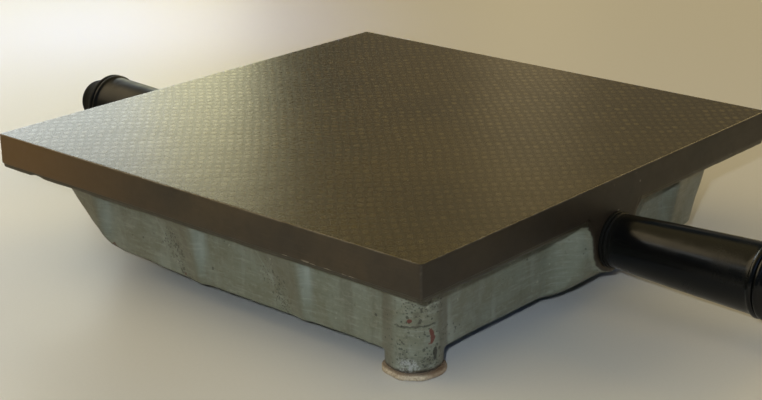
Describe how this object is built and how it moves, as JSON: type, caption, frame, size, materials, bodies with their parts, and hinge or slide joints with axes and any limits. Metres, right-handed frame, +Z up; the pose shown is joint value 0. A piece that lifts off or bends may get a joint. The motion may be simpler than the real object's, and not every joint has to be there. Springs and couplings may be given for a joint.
{
  "type": "surface plate",
  "caption": "Square hand-scraped cast-iron surface plate with a ribbed skirt, padded feet and revolving grips on opposite sides.",
  "frame": {"origin": "on the floor under the middle of the working face, the bottom centre of the whole object's box", "axes": "+Z up, out of the working face; +Y along the handles' common axis, towards the rear grip; +X to the right, seen from the front grip"},
  "size_m": [0.3, 0.5092, 0.0675],
  "materials": {
    "casting": "grey-green enamel on the skirt, ribs and feet; bare, hand-scraped and brown-toned iron on the working face and the plate's sides",
    "foot_pads": "cream wool felt, rough-cut",
    "spindles": "turned, light oil",
    "collars": "black, moulded",
    "grips": "black, moulded and polished by use",
    "fasteners": "zinc-plated"
  },
  "bodies": {
    "plate": {"plate_casting": "casting", "corner_foot_pad": "foot_pads", "right_foot_pad": "foot_pads", "rear_foot_pad": "foot_pads", "front_spindle": "spindles", "front_collar": "collars", "front_washer": "fasteners", "front_lock_nut": "fasteners", "rear_spindle": "spindles", "rear_collar": "collars", "rear_washer": "fasteners", "rear_lock_nut": "fasteners"},
    "front_handle": {"front_grip": "grips", "front_end_cap": "grips"},
    "rear_handle": {"rear_grip": "grips", "rear_end_cap": "grips"}
  },
  "joints": [
    {"name": "front_grip_turn", "type": "hinge", "parent": "plate", "child": "front_handle", "pos_m": [0, -0.15, 0.035], "axis": [0, -1, 0], "continuous": true},
    {"name": "rear_grip_turn", "type": "hinge", "parent": "plate", "child": "rear_handle", "pos_m": [0, 0.15, 0.035], "axis": [0, 1, 0], "continuous": true}
  ]
}
